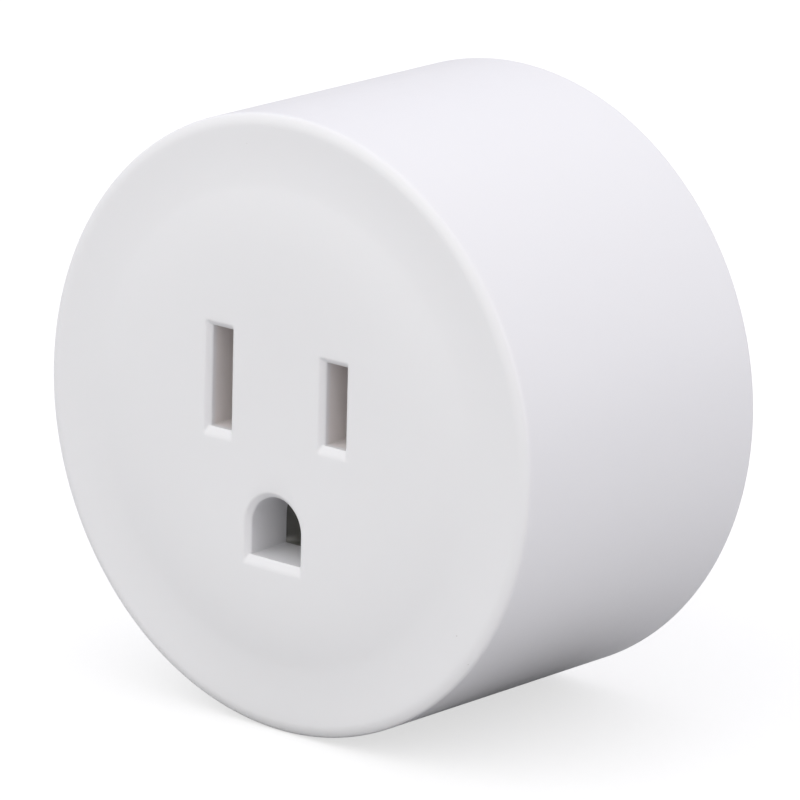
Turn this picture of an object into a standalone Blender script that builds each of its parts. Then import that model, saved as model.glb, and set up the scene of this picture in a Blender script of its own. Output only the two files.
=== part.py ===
"""Round smart plug for a three-pin 15 A wall outlet, as an assembly of its real pieces.

World frame: the wall face of the rear cover lies in the plane Y = 0 with the
origin at its centre, the blades stand out along +Y into the wall outlet, the
outlet face looks along -Y and +Z is up.

Everything is placed in the plug's own "face" coordinates and parented to one
empty that turns them into the world frame: x to the right seen from the front,
y up, z the depth measured from the wall towards the outlet face. Lengths in the
constants are millimetres.
"""

from math import cos, pi, radians, sin

import bmesh
import bpy
from mathutils import Matrix, Vector

MM = 0.001

# ---------------------------------------------------------------- dimensions
BODY_R = 26.6          # outside radius of the round body
BODY_DEPTH = 29.9      # wall face to the flat ring round the outlet face
DOME_RISE = 0.80       # centre of the face above its crease
DOME_FLAT_R = 7.0      # flat middle, which a plug's face rests on
DOME_POWER = 2.93      # how late the dome starts to fall
CREASE_R = 20.3        # circle where the dome meets the ring
RING_RISE = 0.30       # crease above the flat ring
RING_FLAT_R = 24.4     # where the ring has become flat
RIM_FILLET = 1.1
REAR_FILLET = 0.57
WALL = 1.8             # side wall
FACE_INNER_Z = 28.0    # inside of the outlet face
COLLAR_Z = 26.4        # the collars round the openings reach back to here
COLLAR_T = 1.3
SEGMENTS = 56

BLADE_SPACING = 12.7   # standard 15 A pattern
BLADE_Y = 3.1          # blade centre line above the body's axis
GROUND_DROP = 11.9     # ground pin below the blade centre line
NEUTRAL_SLOT = (2.24, 8.94)
LINE_SLOT = (2.29, 7.45)
GROUND_HOLE_W = 5.49
GROUND_FLAT = 2.79     # hole centre down to its flat
SLOT_CHAMFER = 0.48

BLADE_T = 1.5
NEUTRAL_W = 7.9
LINE_W = 6.35
BLADE_LENGTH = 17.5    # beyond the wall face
PIN_R = 2.38
PIN_LENGTH = 20.8

COVER_R = 24.4
COVER_T = 2.2
SKIRT_TOP = 5.3
GAP = 0.3              # between pieces that meet

BOARD_Z = 6.6
BOARD_T = 1.6
BOARD_R = 24.1
BOARD_TOP = BOARD_Z + BOARD_T
SEAT_Z = BOARD_TOP + GAP   # underside of what stands on the board

BOSS_POS = ((-14.5, 14.5), (14.5, 14.5), (0.0, -20.5))
BOSS_R = 2.6

CARRIER_X = 11.3
CARRIER_Y = (-14.3, 9.3)
CARRIER_Z = (12.2, 26.1)
RETAINER_Z = (10.3, 11.9)

BUTTON_Z = 13.5        # depth of the button's axis
BUTTON_R = 3.5
BUTTON_TRAVEL = 0.3
LIGHT_ANGLE = 160.0    # round the body, from +x

RELAY_X = 9.2
RELAY_Y = (10.6, 20.8)
RELAY_TOP = 24.1
HINGE_X = -7.7
HINGE_Z = 21.8

GROUND_Y = BLADE_Y - GROUND_DROP
HALF = BLADE_SPACING / 2
INNER_R = BODY_R - WALL


# ---------------------------------------------------------------- scene
for old in list(bpy.data.objects):
    bpy.data.objects.remove(old, do_unlink=True)

scene = bpy.context.scene
parts = bpy.data.collections.new("smart_plug")
cutters = bpy.data.collections.new("smart_plug_cutters")
scene.collection.children.link(parts)
scene.collection.children.link(cutters)

face_frame = bpy.data.objects.new("face_frame", None)
face_frame.rotation_euler = (pi / 2, 0, 0)
parts.objects.link(face_frame)


def material(name, colour, roughness, metallic=0.0):
    mat = bpy.data.materials.new(name)
    mat.use_nodes = True
    shader = mat.node_tree.nodes["Principled BSDF"]
    shader.inputs["Base Color"].default_value = (*colour, 1)
    shader.inputs["Roughness"].default_value = roughness
    shader.inputs["Metallic"].default_value = metallic
    mat.diffuse_color = (*colour, 1)
    return mat


WHITE = material("white_plastic", (0.87, 0.87, 0.89), 0.45)
INSULATOR = material("insulator_plastic", (0.55, 0.54, 0.5), 0.5)
BLACK = material("black_plastic", (0.03, 0.03, 0.035), 0.5)
RELAY_CASE = material("relay_plastic", (0.05, 0.16, 0.36), 0.4)
BOBBIN = material("bobbin_plastic", (0.75, 0.73, 0.66), 0.5)
FIBREGLASS = material("circuit_board", (0.03, 0.2, 0.1), 0.5)
NICKEL = material("nickel_brass", (0.72, 0.69, 0.62), 0.28, 1.0)
BRASS = material("brass", (0.78, 0.57, 0.26), 0.3, 1.0)
COPPER = material("copper_wire", (0.72, 0.33, 0.16), 0.35, 1.0)
IRON = material("soft_iron", (0.45, 0.45, 0.46), 0.4, 1.0)
STEEL = material("zinc_steel", (0.62, 0.63, 0.65), 0.35, 1.0)
SLEEVE = material("capacitor_sleeve", (0.06, 0.06, 0.09), 0.35)
CERAMIC = material("blue_ceramic", (0.08, 0.25, 0.6), 0.4)
BEIGE = material("fuse_coating", (0.55, 0.45, 0.33), 0.5)
CLEAR = material("clear_plastic", (0.9, 0.92, 0.95), 0.1)


# ---------------------------------------------------------------- helpers
def add(name, mesh, mat, at=(0, 0, 0), cutter=False, sharp=35):
    """An object in face coordinates. at is where its own origin lies, in millimetres."""
    obj = bpy.data.objects.new(name, mesh)
    obj.parent = face_frame
    obj.location = Vector(at) * MM
    (cutters if cutter else parts).objects.link(obj)
    if cutter:
        obj.hide_render = True
        obj.display_type = "WIRE"
    else:
        mesh.materials.append(mat)
        mesh.shade_smooth()
        mesh.set_sharp_from_angle(angle=radians(sharp))
    return obj


def to_mesh(name, bm):
    bmesh.ops.recalc_face_normals(bm, faces=bm.faces)
    mesh = bpy.data.meshes.new(name)
    bm.to_mesh(mesh)
    bm.free()
    return mesh


def block(name, mat, x, y, z, at=(0, 0, 0), bevel=0.0, cutter=False):
    """A box between pairs of limits."""
    bm = bmesh.new()
    size = Vector((x[1] - x[0], y[1] - y[0], z[1] - z[0])) * MM
    middle = (Vector((x[0] + x[1], y[0] + y[1], z[0] + z[1])) / 2 - Vector(at)) * MM
    bmesh.ops.create_cube(bm, size=1, matrix=Matrix.Translation(middle) @ Matrix.Diagonal((*size, 1)))
    if bevel:
        bmesh.ops.bevel(bm, geom=bm.edges[:], offset=bevel * MM, segments=1, affect="EDGES")
    return add(name, to_mesh(name, bm), mat, at, cutter)


AXES = {
    "x": Matrix.Rotation(pi / 2, 4, "Y"),
    "y": Matrix.Rotation(-pi / 2, 4, "X"),
    "z": Matrix.Identity(4),
}


def rod(name, mat, centre, radius, length, axis="z", at=(0, 0, 0), segments=20, bevel=0.0, turn=0.0, cutter=False):
    """A cylinder about its centre, with optionally bevelled ends."""
    bm = bmesh.new()
    place = Matrix.Translation((Vector(centre) - Vector(at)) * MM) @ Matrix.Rotation(radians(turn), 4, "Z") @ AXES[axis]
    bmesh.ops.create_cone(
        bm, cap_ends=True, segments=segments, radius1=radius * MM, radius2=radius * MM,
        depth=length * MM, matrix=place,
    )
    if bevel:
        ends = [e for e in bm.edges if sorted(len(f.verts) for f in e.link_faces)[-1] > 4]
        bmesh.ops.bevel(bm, geom=ends, offset=bevel * MM, segments=1, affect="EDGES")
    return add(name, to_mesh(name, bm), mat, at, cutter)


def turned(name, mat, profile, at=(0, 0, 0), steps=SEGMENTS, cutter=False):
    """A profile of (radius, z) points turned about its own z axis, running down its outer side."""
    bm = bmesh.new()
    verts = [bm.verts.new((r * MM, 0, z * MM)) for r, z in profile]
    for a, b in zip(verts, verts[1:]):
        bm.edges.new((a, b))
    if profile[0][0] > 0:
        bm.edges.new((verts[-1], verts[0]))
    mesh = bpy.data.meshes.new(name)
    bm.to_mesh(mesh)
    bm.free()
    obj = add(name, mesh, mat, at, cutter)
    screw = obj.modifiers.new("turn", "SCREW")
    screw.axis = "Z"
    screw.steps = screw.render_steps = steps
    screw.use_merge_vertices = True
    screw.merge_threshold = 1e-6
    return obj


def prism(name, mat, outline, z0, z1, mouth=None, at=(0, 0, 0), plane="xy", cutter=False):
    """A flat outline extruded from z0 to z1. mouth is the outline at z1 when it flares.
    In plane "yz" or "xz" the outline's two numbers are those axes and z0, z1 the third."""
    order = {"xy": lambda a, b, c: (a, b, c), "yz": lambda a, b, c: (c, a, b), "xz": lambda a, b, c: (a, c, b)}[plane]
    bm = bmesh.new()
    verts = [bm.verts.new((Vector(order(a, b, z0)) - Vector(at)) * MM) for a, b in outline]
    start = bm.faces.new(verts)
    made = bmesh.ops.extrude_face_region(bm, geom=[start])
    lifted = {v for v in made["geom"] if isinstance(v, bmesh.types.BMVert)}
    far = mouth or outline
    for v, (a, b) in zip(verts, far):
        top = next(e.other_vert(v) for e in v.link_edges if e.other_vert(v) in lifted)
        top.co = (Vector(order(a, b, z1)) - Vector(at)) * MM
    bmesh.ops.triangulate(bm, faces=[f for f in bm.faces if len(f.verts) > 4])
    return add(name, to_mesh(name, bm), mat, at, cutter)


def strip(name, mat, points, y, thickness, at=(0, 0, 0)):
    """A bent metal strip: an open ribbon through (x, z) points, as wide as y, made solid."""
    bm = bmesh.new()
    rows = [[bm.verts.new((Vector((px, py, pz)) - Vector(at)) * MM) for px, pz in points] for py in y]
    for i in range(len(points) - 1):
        bm.faces.new((rows[0][i], rows[0][i + 1], rows[1][i + 1], rows[1][i]))
    mesh = bpy.data.meshes.new(name)
    bm.to_mesh(mesh)
    bm.free()
    obj = add(name, mesh, mat, at)
    solid = obj.modifiers.new("sheet", "SOLIDIFY")
    solid.thickness = thickness * MM
    solid.offset = 0
    solid.use_even_offset = True
    return obj


def arc(cx, cy, r, start, end, steps):
    return [
        (cx + r * cos(radians(start + (end - start) * i / steps)), cy + r * sin(radians(start + (end - start) * i / steps)))
        for i in range(steps + 1)
    ]


def rounded(cx, cy, w, h, r, steps=2):
    """A rectangle with rounded corners, anticlockwise."""
    out = []
    for sx, sy, a in ((1, -1, -90), (1, 1, 0), (-1, 1, 90), (-1, -1, 180)):
        out += arc(cx + sx * (w / 2 - r), cy + sy * (h / 2 - r), r, a, a + 90, steps)
    return out


def arch(w, flat, grow=0.0, steps=10):
    """The ground hole: half round on top, flat below, about (0, GROUND_Y)."""
    r = w / 2 + grow
    low = GROUND_Y - flat - grow
    return [*arc(0, GROUND_Y, r, 0, 180, steps), (-r, low), (r, low)]


def boolean(obj, other, operation):
    mod = obj.modifiers.new(other.name, "BOOLEAN")
    mod.operation = operation
    mod.object = other
    mod.solver = "EXACT"
    return obj


def cut(obj, *others):
    for other in others:
        boolean(obj, other, "DIFFERENCE")


def join(obj, *others):
    """Adds shapes to a piece. The shapes themselves are helpers."""
    for other in others:
        boolean(obj, other, "UNION")


def helper(make, *args, **kwargs):
    return make("add_" + args[0], None, *args[1:], cutter=True, **kwargs)


# ---------------------------------------------------------------- front housing
def face_z(r):
    if r <= CREASE_R:
        t = max(0, (r - DOME_FLAT_R) / (CREASE_R - DOME_FLAT_R))
        return BODY_DEPTH + RING_RISE + DOME_RISE * (1 - t**DOME_POWER)
    t = min(1, (r - CREASE_R) / (RING_FLAT_R - CREASE_R))
    return BODY_DEPTH + RING_RISE * (1 - t) ** 1.6


outer = [(r, face_z(r)) for r in (0, DOME_FLAT_R, 12, 15, 18, CREASE_R, 22, RING_FLAT_R)]
outer += [
    (BODY_R - RIM_FILLET + RIM_FILLET * sin(radians(a)), BODY_DEPTH - RIM_FILLET + RIM_FILLET * cos(radians(a)))
    for a in (0, 45, 90)
]
outer += [(BODY_R, REAR_FILLET), (BODY_R - REAR_FILLET, 0)]
inner = [
    (INNER_R, 0), (INNER_R, 3.3), (INNER_R + 0.5, 3.6), (INNER_R + 0.5, 4.7), (INNER_R, 5.0),
    (INNER_R, FACE_INNER_Z - 0.6), (INNER_R - 0.6, FACE_INNER_Z), (0, FACE_INNER_Z),
]
housing = turned("front_housing", WHITE, outer + inner)

for i, (bx, by) in enumerate(BOSS_POS):
    boss = helper(rod, f"boss_{i}", (bx, by, (SEAT_Z + FACE_INNER_Z + 0.6) / 2), BOSS_R, FACE_INNER_Z + 0.6 - SEAT_Z, segments=16)
    out = Vector((bx, by)).normalized()
    bm = bmesh.new()
    reach = (Vector((bx, by)) + out * (INNER_R + 0.6)) / 2
    length = INNER_R + 0.6 - Vector((bx, by)).length
    bmesh.ops.create_cube(
        bm, size=1,
        matrix=Matrix.Translation((reach.x * MM, reach.y * MM, 20.3 * MM))
        @ Matrix.Rotation(out.angle_signed(Vector((1, 0))), 4, "Z")
        @ Matrix.Diagonal((length * MM, 1.2 * MM, 16.6 * MM, 1)),
    )
    rib = add(f"add_rib_{i}", to_mesh(f"rib_{i}", bm), None, cutter=True)
    join(housing, boss, rib)
    pilot = rod(f"cut_pilot_{i}", None, (bx, by, SEAT_Z + 3.4), 1.25, 8.4, segments=12, cutter=True)
    cut(housing, pilot)

for name, side, (w, h) in (("neutral", -1, NEUTRAL_SLOT), ("line", 1, LINE_SLOT)):
    x = side * HALF
    join(
        housing,
        block(
            f"add_{name}_collar", None, (x - w / 2 - COLLAR_T, x + w / 2 + COLLAR_T),
            (BLADE_Y - h / 2 - COLLAR_T, BLADE_Y + h / 2 + COLLAR_T), (COLLAR_Z, FACE_INNER_Z + 0.6), cutter=True,
        ),
    )
    cut(
        housing,
        prism(f"cut_{name}_slot", None, rounded(x, BLADE_Y, w, h, 0.2, 1), 25, 33, cutter=True),
        prism(
            f"cut_{name}_mouth", None, rounded(x, BLADE_Y, w, h, 0.2, 1), face_z(7) - SLOT_CHAMFER, face_z(7) + 1,
            mouth=rounded(x, BLADE_Y, w + 2 * (SLOT_CHAMFER + 1), h + 2 * (SLOT_CHAMFER + 1), 0.4, 1), cutter=True,
        ),
    )
join(housing, prism("add_ground_collar", None, arch(GROUND_HOLE_W, GROUND_FLAT, 1.0), COLLAR_Z, FACE_INNER_Z + 0.6, cutter=True))
cut(
    housing,
    prism("cut_ground_hole", None, arch(GROUND_HOLE_W, GROUND_FLAT), 25, 33, cutter=True),
    prism(
        "cut_ground_mouth", None, arch(GROUND_HOLE_W, GROUND_FLAT), face_z(9) - SLOT_CHAMFER, face_z(9) + 1,
        mouth=arch(GROUND_HOLE_W, GROUND_FLAT, SLOT_CHAMFER + 1), cutter=True,
    ),
    rod("cut_button_hole", None, (-BODY_R, 0, BUTTON_Z), BUTTON_R + 0.3, 8, axis="x", segments=28, cutter=True),
    rod(
        "cut_light_hole", None,
        (BODY_R * cos(radians(LIGHT_ANGLE)), BODY_R * sin(radians(LIGHT_ANGLE)), BUTTON_Z),
        1.45, 8, axis="x", turn=LIGHT_ANGLE, segments=14, cutter=True,
    ),
)

# ---------------------------------------------------------------- rear cover
cover = turned(
    "rear_cover", WHITE,
    [(0, COVER_T), (COVER_R - 1.6, COVER_T), (COVER_R - 1.6, SKIRT_TOP), (COVER_R, SKIRT_TOP), (COVER_R, 0.3), (COVER_R - 0.3, 0), (0, 0)],
)
for i, angle in enumerate((25, 155, 205, 335)):
    a = radians(angle)
    hook = rod(f"add_hook_{i}", None, ((COVER_R - 0.8) * cos(a), (COVER_R - 0.8) * sin(a), 4.2), 1.35, 0.9, segments=12, cutter=True)
    join(cover, hook)
for i in range(4):
    a = radians(90 * i)
    cut(
        cover,
        block(
            f"cut_skirt_{i}", None,
            (COVER_R * cos(a) - 4, COVER_R * cos(a) + 4), (COVER_R * sin(a) - 4, COVER_R * sin(a) + 4),
            (COVER_T + 0.6, SKIRT_TOP + 1), cutter=True,
        ),
    )
for name, side, w in (("neutral", -1, NEUTRAL_W), ("line", 1, LINE_W)):
    cut(
        cover,
        block(
            f"cut_{name}_blade", None,
            (side * HALF - BLADE_T / 2 - GAP, side * HALF + BLADE_T / 2 + GAP),
            (BLADE_Y - w / 2 - GAP, BLADE_Y + w / 2 + GAP), (-1, 4), cutter=True,
        ),
    )
cut(cover, rod("cut_ground_pin", None, (0, GROUND_Y, 1), PIN_R + GAP, 5, segments=24, cutter=True))


# ---------------------------------------------------------------- plug blades and ground pin
def blade(name, side, w):
    """A stamped blade: tapered tip, shoulders behind the cover, a narrow tail through the board.
    The tail sits low, so that the contact's tail has room beside it."""
    half, y, tail = w / 2, BLADE_Y, BLADE_Y - 1.6
    right = [
        (tail + 1.2, 9.0), (tail + 1.2, 4.3), (y + half + 1.4, 4.3), (y + half + 1.4, COVER_T + GAP),
        (y + half, COVER_T + GAP), (y + half, -BLADE_LENGTH + 1.8), (y + half - 1.3, -BLADE_LENGTH),
    ]
    left = [(2 * y - a, b) for a, b in right[2:]][::-1]
    outline = right + left + [(tail - 1.2, 4.3), (tail - 1.2, 9.0)]
    x = side * HALF
    obj = prism(name, NICKEL, outline, x - BLADE_T / 2, x + BLADE_T / 2, plane="yz", at=(x, y, 0))
    edge = obj.modifiers.new("edges", "BEVEL")
    edge.width = 0.25 * MM
    edge.segments = 1
    edge.limit_method = "ANGLE"
    edge.angle_limit = radians(60)
    cut(obj, rod(f"cut_{name}_hole", None, (x, y, -11.9), 1.65, 4, axis="x", segments=20, cutter=True))
    return obj


blade("neutral_blade", -1, NEUTRAL_W)
blade("line_blade", 1, LINE_W)

turned(
    "ground_pin", NICKEL,
    [
        (0, 9.0), (1.0, 9.0), (1.1, 8.8), (1.1, 4.1), (3.7, 4.1), (3.7, COVER_T + GAP), (PIN_R, COVER_T + GAP),
        (PIN_R, -PIN_LENGTH + 2.2), (PIN_R * 0.9, -PIN_LENGTH + 1.1), (PIN_R * 0.62, -PIN_LENGTH + 0.3), (PIN_R * 0.3, -PIN_LENGTH), (0, -PIN_LENGTH),
    ],
    at=(0, GROUND_Y, 0), steps=28,
)

# ---------------------------------------------------------------- outlet contacts and their insulators
carrier = block("contact_carrier", INSULATOR, (-CARRIER_X, CARRIER_X), CARRIER_Y, CARRIER_Z, bevel=0.6)
for name, side, (w, h) in (("neutral", -1, NEUTRAL_SLOT), ("line", 1, LINE_SLOT)):
    x = side * HALF
    cut(carrier, block(f"cut_{name}_pocket", None, (x - 2.5, x + 2.5), (BLADE_Y - 4.9, BLADE_Y + 4.9), (11, 28), cutter=True))
cut(carrier, block("cut_ground_pocket", None, (-3.6, 3.6), (GROUND_Y - 4.2, GROUND_Y + 3.4), (11, 28), cutter=True))

retainer = block("contact_retainer", INSULATOR, (-CARRIER_X, CARRIER_X), CARRIER_Y, RETAINER_Z, bevel=0.3)
for i, (px, py) in enumerate(((-9.6, -12.4), (9.6, -12.4), (-9.9, 7.6), (9.9, 7.6))):
    join(retainer, rod(f"add_foot_{i}", None, (px, py, (SEAT_Z + 10.6) / 2), 1.2, 10.6 - SEAT_Z, segments=10, cutter=True))
cut(retainer, rod("cut_pin_way", None, (0, GROUND_Y, 11), 2.9, 4, segments=20, cutter=True))

TAIL_Y = BLADE_Y + 2.6
for name, side, (w, h) in (("neutral", -1, NEUTRAL_SLOT), ("line", 1, LINE_SLOT)):
    x = side * HALF
    leaf = [(1.9, 25.6), (0.72, 24.0), (1.15, 21.0), (1.7, 17.0), (1.7, 12.75), (-1.7, 12.75), (-1.7, 17.0), (-1.15, 21.0), (-0.72, 24.0), (-1.9, 25.6)]
    contact = strip(
        f"{name}_contact", BRASS, [(x + a, b) for a, b in leaf], (BLADE_Y - h / 2 + 0.4, BLADE_Y + h / 2 - 0.4), 0.5, at=(x, BLADE_Y, 12.75)
    )
    join(contact, block(f"add_{name}_tail", None, (x - 0.4, x + 0.4), (TAIL_Y - 1.0, TAIL_Y + 1.0), (5.9, 12.8), cutter=True))
    cut(retainer, block(f"cut_{name}_tail", None, (x - 0.75, x + 0.75), (TAIL_Y - 1.35, TAIL_Y + 1.35), (9, 13), cutter=True))

sleeve = GROUND_Y - 3.1
ground_contact = prism(
    "ground_contact", BRASS,
    [
        (-2.75, GROUND_Y + 2.6), (-2.75, sleeve - 0.5), (2.75, sleeve - 0.5), (2.75, GROUND_Y + 2.6),
        (2.25, GROUND_Y + 2.6), (2.25, sleeve), (-2.25, sleeve), (-2.25, GROUND_Y + 2.6),
    ],
    14.0, 25.8, at=(0, GROUND_Y, 14.0),
)
join(ground_contact, block("add_ground_tail", None, (-1.2, 1.2), (sleeve - 0.5, sleeve - 0.02), (5.9, 15), cutter=True))
cut(retainer, block("cut_ground_tail", None, (-1.55, 1.55), (sleeve - 0.9, sleeve + 0.4), (9, 13), cutter=True))

# ---------------------------------------------------------------- circuit boards
board = rod("main_board", FIBREGLASS, (0, 0, BOARD_Z + BOARD_T / 2), BOARD_R, BOARD_T, segments=48)
holes = [block(f"cut_board_{name}_tails", None, (side * HALF - 1.1, side * HALF + 1.1), (BLADE_Y - 3.2, TAIL_Y + 1.4), (5, 10), cutter=True) for name, side in (("neutral", -1), ("line", 1))]
holes.append(rod("cut_board_pin", None, (0, GROUND_Y, 7), 1.45, 6, segments=14, cutter=True))
holes.append(block("cut_board_ground_tail", None, (-1.6, 1.6), (sleeve - 0.9, sleeve + 0.4), (5, 10), cutter=True))
holes += [rod(f"cut_board_screw_{i}", None, (bx, by, 7), 1.6, 6, segments=14, cutter=True) for i, (bx, by) in enumerate(BOSS_POS)]
holes.append(block("cut_board_contact_pin", None, (7.2, 8.7), (13.6, 17.8), (5, 10), cutter=True))
cut(board, *holes)

radio_board = block("radio_board", FIBREGLASS, (-15.0, -14.0), (-7.5, 9.0), (SEAT_Z, 24.8))
block("radio_shield", STEEL, (-17.4, -15.3), (-6.2, 6.2), (11.6, 21.4), bevel=0.3)

# ---------------------------------------------------------------- board screws
for name, (bx, by) in zip(("board_screw_left", "board_screw_right", "board_screw_bottom"), BOSS_POS):
    screw = turned(
        name, STEEL,
        [(0, 15.6), (0.35, 15.3), (0.9, 13.9), (0.9, BOARD_Z - GAP), (2.3, BOARD_Z - GAP), (2.3, 5.5), (1.5, 4.5), (0, 4.3)],
        at=(bx, by, 0), steps=16,
    )
    cut(
        screw,
        block(f"cut_{name}_a", None, (bx - 1.3, bx + 1.3), (by - 0.28, by + 0.28), (4, 5.3), cutter=True),
        block(f"cut_{name}_b", None, (bx - 0.28, bx + 0.28), (by - 1.3, by + 1.3), (4, 5.3), cutter=True),
    )

# ---------------------------------------------------------------- relay
RELAY_MID = sum(RELAY_Y) / 2
COIL_X = -3.2
relay_base = block("relay_base", BLACK, (-RELAY_X, RELAY_X), RELAY_Y, (SEAT_Z, 10.0), bevel=0.3)
cut(relay_base, block("cut_base_pin", None, (7.25, 8.55), (13.7, 17.7), (8, 11), cutter=True))
relay_cover = block("relay_cover", RELAY_CASE, (-RELAY_X, RELAY_X), RELAY_Y, (10.3, RELAY_TOP), bevel=0.5)
cut(relay_cover, block("cut_cover_room", None, (-RELAY_X + 0.7, RELAY_X - 0.7), (RELAY_Y[0] + 0.7, RELAY_Y[1] - 0.7), (9, RELAY_TOP - 0.7), cutter=True))

bobbin = turned(
    "relay_bobbin", BOBBIN,
    [(1.65, 20.6), (3.7, 20.6), (3.7, 19.9), (2.0, 19.9), (2.0, 12.6), (3.7, 12.6), (3.7, 11.8), (1.65, 11.8)],
    at=(COIL_X, RELAY_MID, 0), steps=24,
)
turned(
    "relay_coil", COPPER, [(2.3, 19.6), (3.35, 19.6), (3.35, 12.9), (2.3, 12.9)], at=(COIL_X, RELAY_MID, 0), steps=24,
)
turned(
    "relay_core", IRON, [(0, 21.2), (2.5, 21.2), (2.5, 20.9), (1.3, 20.9), (1.3, 11.8), (0, 11.8)], at=(COIL_X, RELAY_MID, 0), steps=20,
)
strip(
    "relay_yoke", IRON, [(-7.7, 21.55), (-7.7, 10.95), (0.4, 10.95)], (RELAY_MID - 3.4, RELAY_MID + 3.4), 0.8, at=(HINGE_X, RELAY_MID, 10.95)
)
hinge = (HINGE_X, RELAY_MID, HINGE_Z)
block("relay_armature", IRON, (-8.1, 0.2), (RELAY_MID - 3.2, RELAY_MID + 3.2), (HINGE_Z, HINGE_Z + 0.7), at=hinge, bevel=0.15)
moving = block("relay_moving_contact", BRASS, (-5.5, 7.2), (RELAY_MID - 2.0, RELAY_MID + 2.0), (22.75, 23.0), at=hinge)
join(moving, rod("add_moving_rivet", None, (6.0, RELAY_MID, 22.4), 1.1, 1.0, segments=14, bevel=0.2, cutter=True))
fixed = strip(
    "relay_fixed_contact", BRASS, [(4.9, 20.4), (7.9, 20.4), (7.9, 6.0)], (RELAY_MID - 1.6, RELAY_MID + 1.6), 0.5, at=(7.9, RELAY_MID, 8.5)
)
join(fixed, rod("add_fixed_rivet", None, (6.0, RELAY_MID, 20.75), 1.1, 0.7, segments=14, bevel=0.15, cutter=True))


# ---------------------------------------------------------------- power supply parts
def can_capacitor(name, x, y, r, height):
    turned(
        name, SLEEVE,
        [(0, SEAT_Z + height), (r - 0.5, SEAT_Z + height), (r, SEAT_Z + height - 0.5), (r, SEAT_Z + 1.6), (r - 0.35, SEAT_Z + 1.2), (r, SEAT_Z + 0.8), (r, SEAT_Z), (0, SEAT_Z)],
        at=(x, y, 0), steps=20,
    )


can_capacitor("bulk_capacitor", 16.1, 5.0, 4.0, 14.5)
can_capacitor("filter_capacitor", 16.1, -3.9, 4.0, 14.5)
can_capacitor("output_capacitor", 17.2, -11.2, 2.5, 9.0)
turned(
    "filter_choke", BLACK,
    [(0, 17.5), (3.1, 17.5), (3.1, 16.5), (2.6, 16.2), (2.6, 10.2), (3.1, 9.9), (3.1, SEAT_Z), (0, SEAT_Z)],
    at=(-17.0, -12.2, 0), steps=20,
)
rod("surge_varistor", CERAMIC, (9.0, -17.5, SEAT_Z + 4.4), 4.2, 3.6, axis="y", segments=24, bevel=0.7)
rod("fuse_resistor", BEIGE, (-9.0, -17.3, SEAT_Z + 2.1), 1.75, 9.5, axis="x", segments=16, bevel=0.5)
block("bridge_rectifier", BLACK, (10.6, 15.4), (-9.5, -3.2), (3.9, BOARD_Z - GAP), bevel=0.3)
block("supply_chip", BLACK, (-15.0, -10.0), (-8.5, -3.5), (4.7, BOARD_Z - GAP), bevel=0.25)
block("voltage_regulator", BLACK, (-16.5, -10.0), (2.5, 6.0), (4.7, BOARD_Z - GAP), bevel=0.25)
block("relay_driver", BLACK, (-1.5, 1.5), (11.0, 12.7), (5.2, BOARD_Z - GAP), bevel=0.15)

# ---------------------------------------------------------------- button, switch and status light
switch_body = block("switch_body", BLACK, (-21.8, -18.2), (-3.0, 3.0), (10.5, 16.5), bevel=0.25)
join(
    switch_body,
    block("add_leg_a", None, (-20.9, -19.1), (-2.7, -1.7), (SEAT_Z, 10.8), cutter=True),
    block("add_leg_b", None, (-20.9, -19.1), (1.7, 2.7), (SEAT_Z, 10.8), cutter=True),
)
cut(switch_body, rod("cut_plunger_hole", None, (-21.0, 0, BUTTON_Z), 1.35, 2.4, axis="x", segments=16, cutter=True))
rod("switch_plunger", BLACK, (-21.4, 0, BUTTON_Z), 1.0, 1.9, axis="x", at=(-22.35, 0, BUTTON_Z), segments=16, bevel=0.12)

cap = turned(
    "button_cap", WHITE,
    [(0, 3.1), (2.0, 3.05), (BUTTON_R - 0.5, 2.85), (BUTTON_R, 2.35), (BUTTON_R, 0.0), (BUTTON_R + 0.8, 0.0), (BUTTON_R + 0.8, -0.7), (1.3, -0.7), (1.2, -1.25), (0, -1.25)],
    at=(-24.0, 0, BUTTON_Z), steps=28,
)
cap.rotation_euler = (0, -pi / 2, 0)

a = radians(LIGHT_ANGLE)
guide = bpy.data.curves.new("light_pipe", "CURVE")
guide.dimensions = "3D"
guide.bevel_depth = 1.1 * MM
guide.bevel_resolution = 2
guide.use_fill_caps = True
bend_r, led_r = 2.2, 20.0
path = [(led_r, SEAT_Z + 1.9)] + [
    (led_r + bend_r - bend_r * cos(radians(t)), BUTTON_Z - bend_r + bend_r * sin(radians(t))) for t in (0, 30, 60, 90)
] + [(BODY_R - 0.15, BUTTON_Z)]
spline = guide.splines.new("POLY")
spline.points.add(len(path) - 1)
for point, (r, z) in zip(spline.points, path):
    point.co = (r * cos(a) * MM, r * sin(a) * MM, z * MM, 1)
light_pipe = bpy.data.objects.new("light_pipe", guide)
guide.materials.append(CLEAR)
light_pipe.parent = face_frame
parts.objects.link(light_pipe)
lx, ly = led_r * cos(a), led_r * sin(a)
block("status_led", CLEAR, (lx - 1.5, lx + 1.5), (ly - 1.0, ly + 1.0), (SEAT_Z, SEAT_Z + 1.4), bevel=0.2)
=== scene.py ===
"""Looks of the round smart plug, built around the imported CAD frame.

The visible pieces (housing, rear cover, blades, pin, button, light pipe, contacts) are rebuilt here as fine
meshes in the place of their CAD nodes. The inner pieces keep their CAD shape and get their finish here.
Face coordinates are millimetres: x right seen from the front, y up, z from the wall towards the outlet face.
"""

import math
from math import cos, pi, radians, sin

import bmesh
import bpy
from mathutils import Matrix, Vector


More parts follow.
